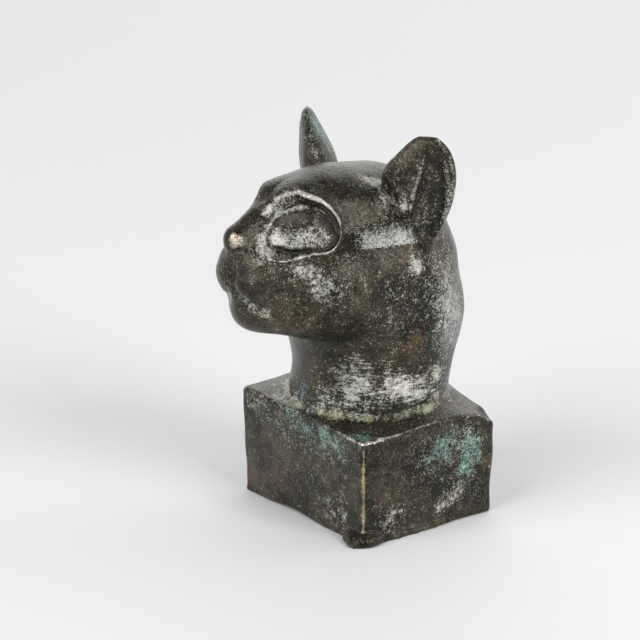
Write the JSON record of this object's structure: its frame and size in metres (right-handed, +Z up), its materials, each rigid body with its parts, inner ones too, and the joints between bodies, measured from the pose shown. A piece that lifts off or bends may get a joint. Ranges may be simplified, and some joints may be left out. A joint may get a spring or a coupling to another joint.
{
  "type": "cat head sculpture",
  "caption": "Small patinated bronze cat head with upright ears and large eyes, cast in one piece with its low rectangular plinth.",
  "frame": {"origin": "middle of the plinth's underside, on the surface it stands on", "axes": "+Z up through the crown of the head, -Y the way the cat looks, +X the cat's left"},
  "size_m": [0.063, 0.0721, 0.1086],
  "materials": {
    "patinated_bronze": "dark brown cast bronze, satin on worn places, with pale mineral deposit in the hollows and patches of green verdigris"
  },
  "bodies": {
    "root": {"cat_head_and_plinth": "patinated_bronze"}
  },
  "joints": []
}
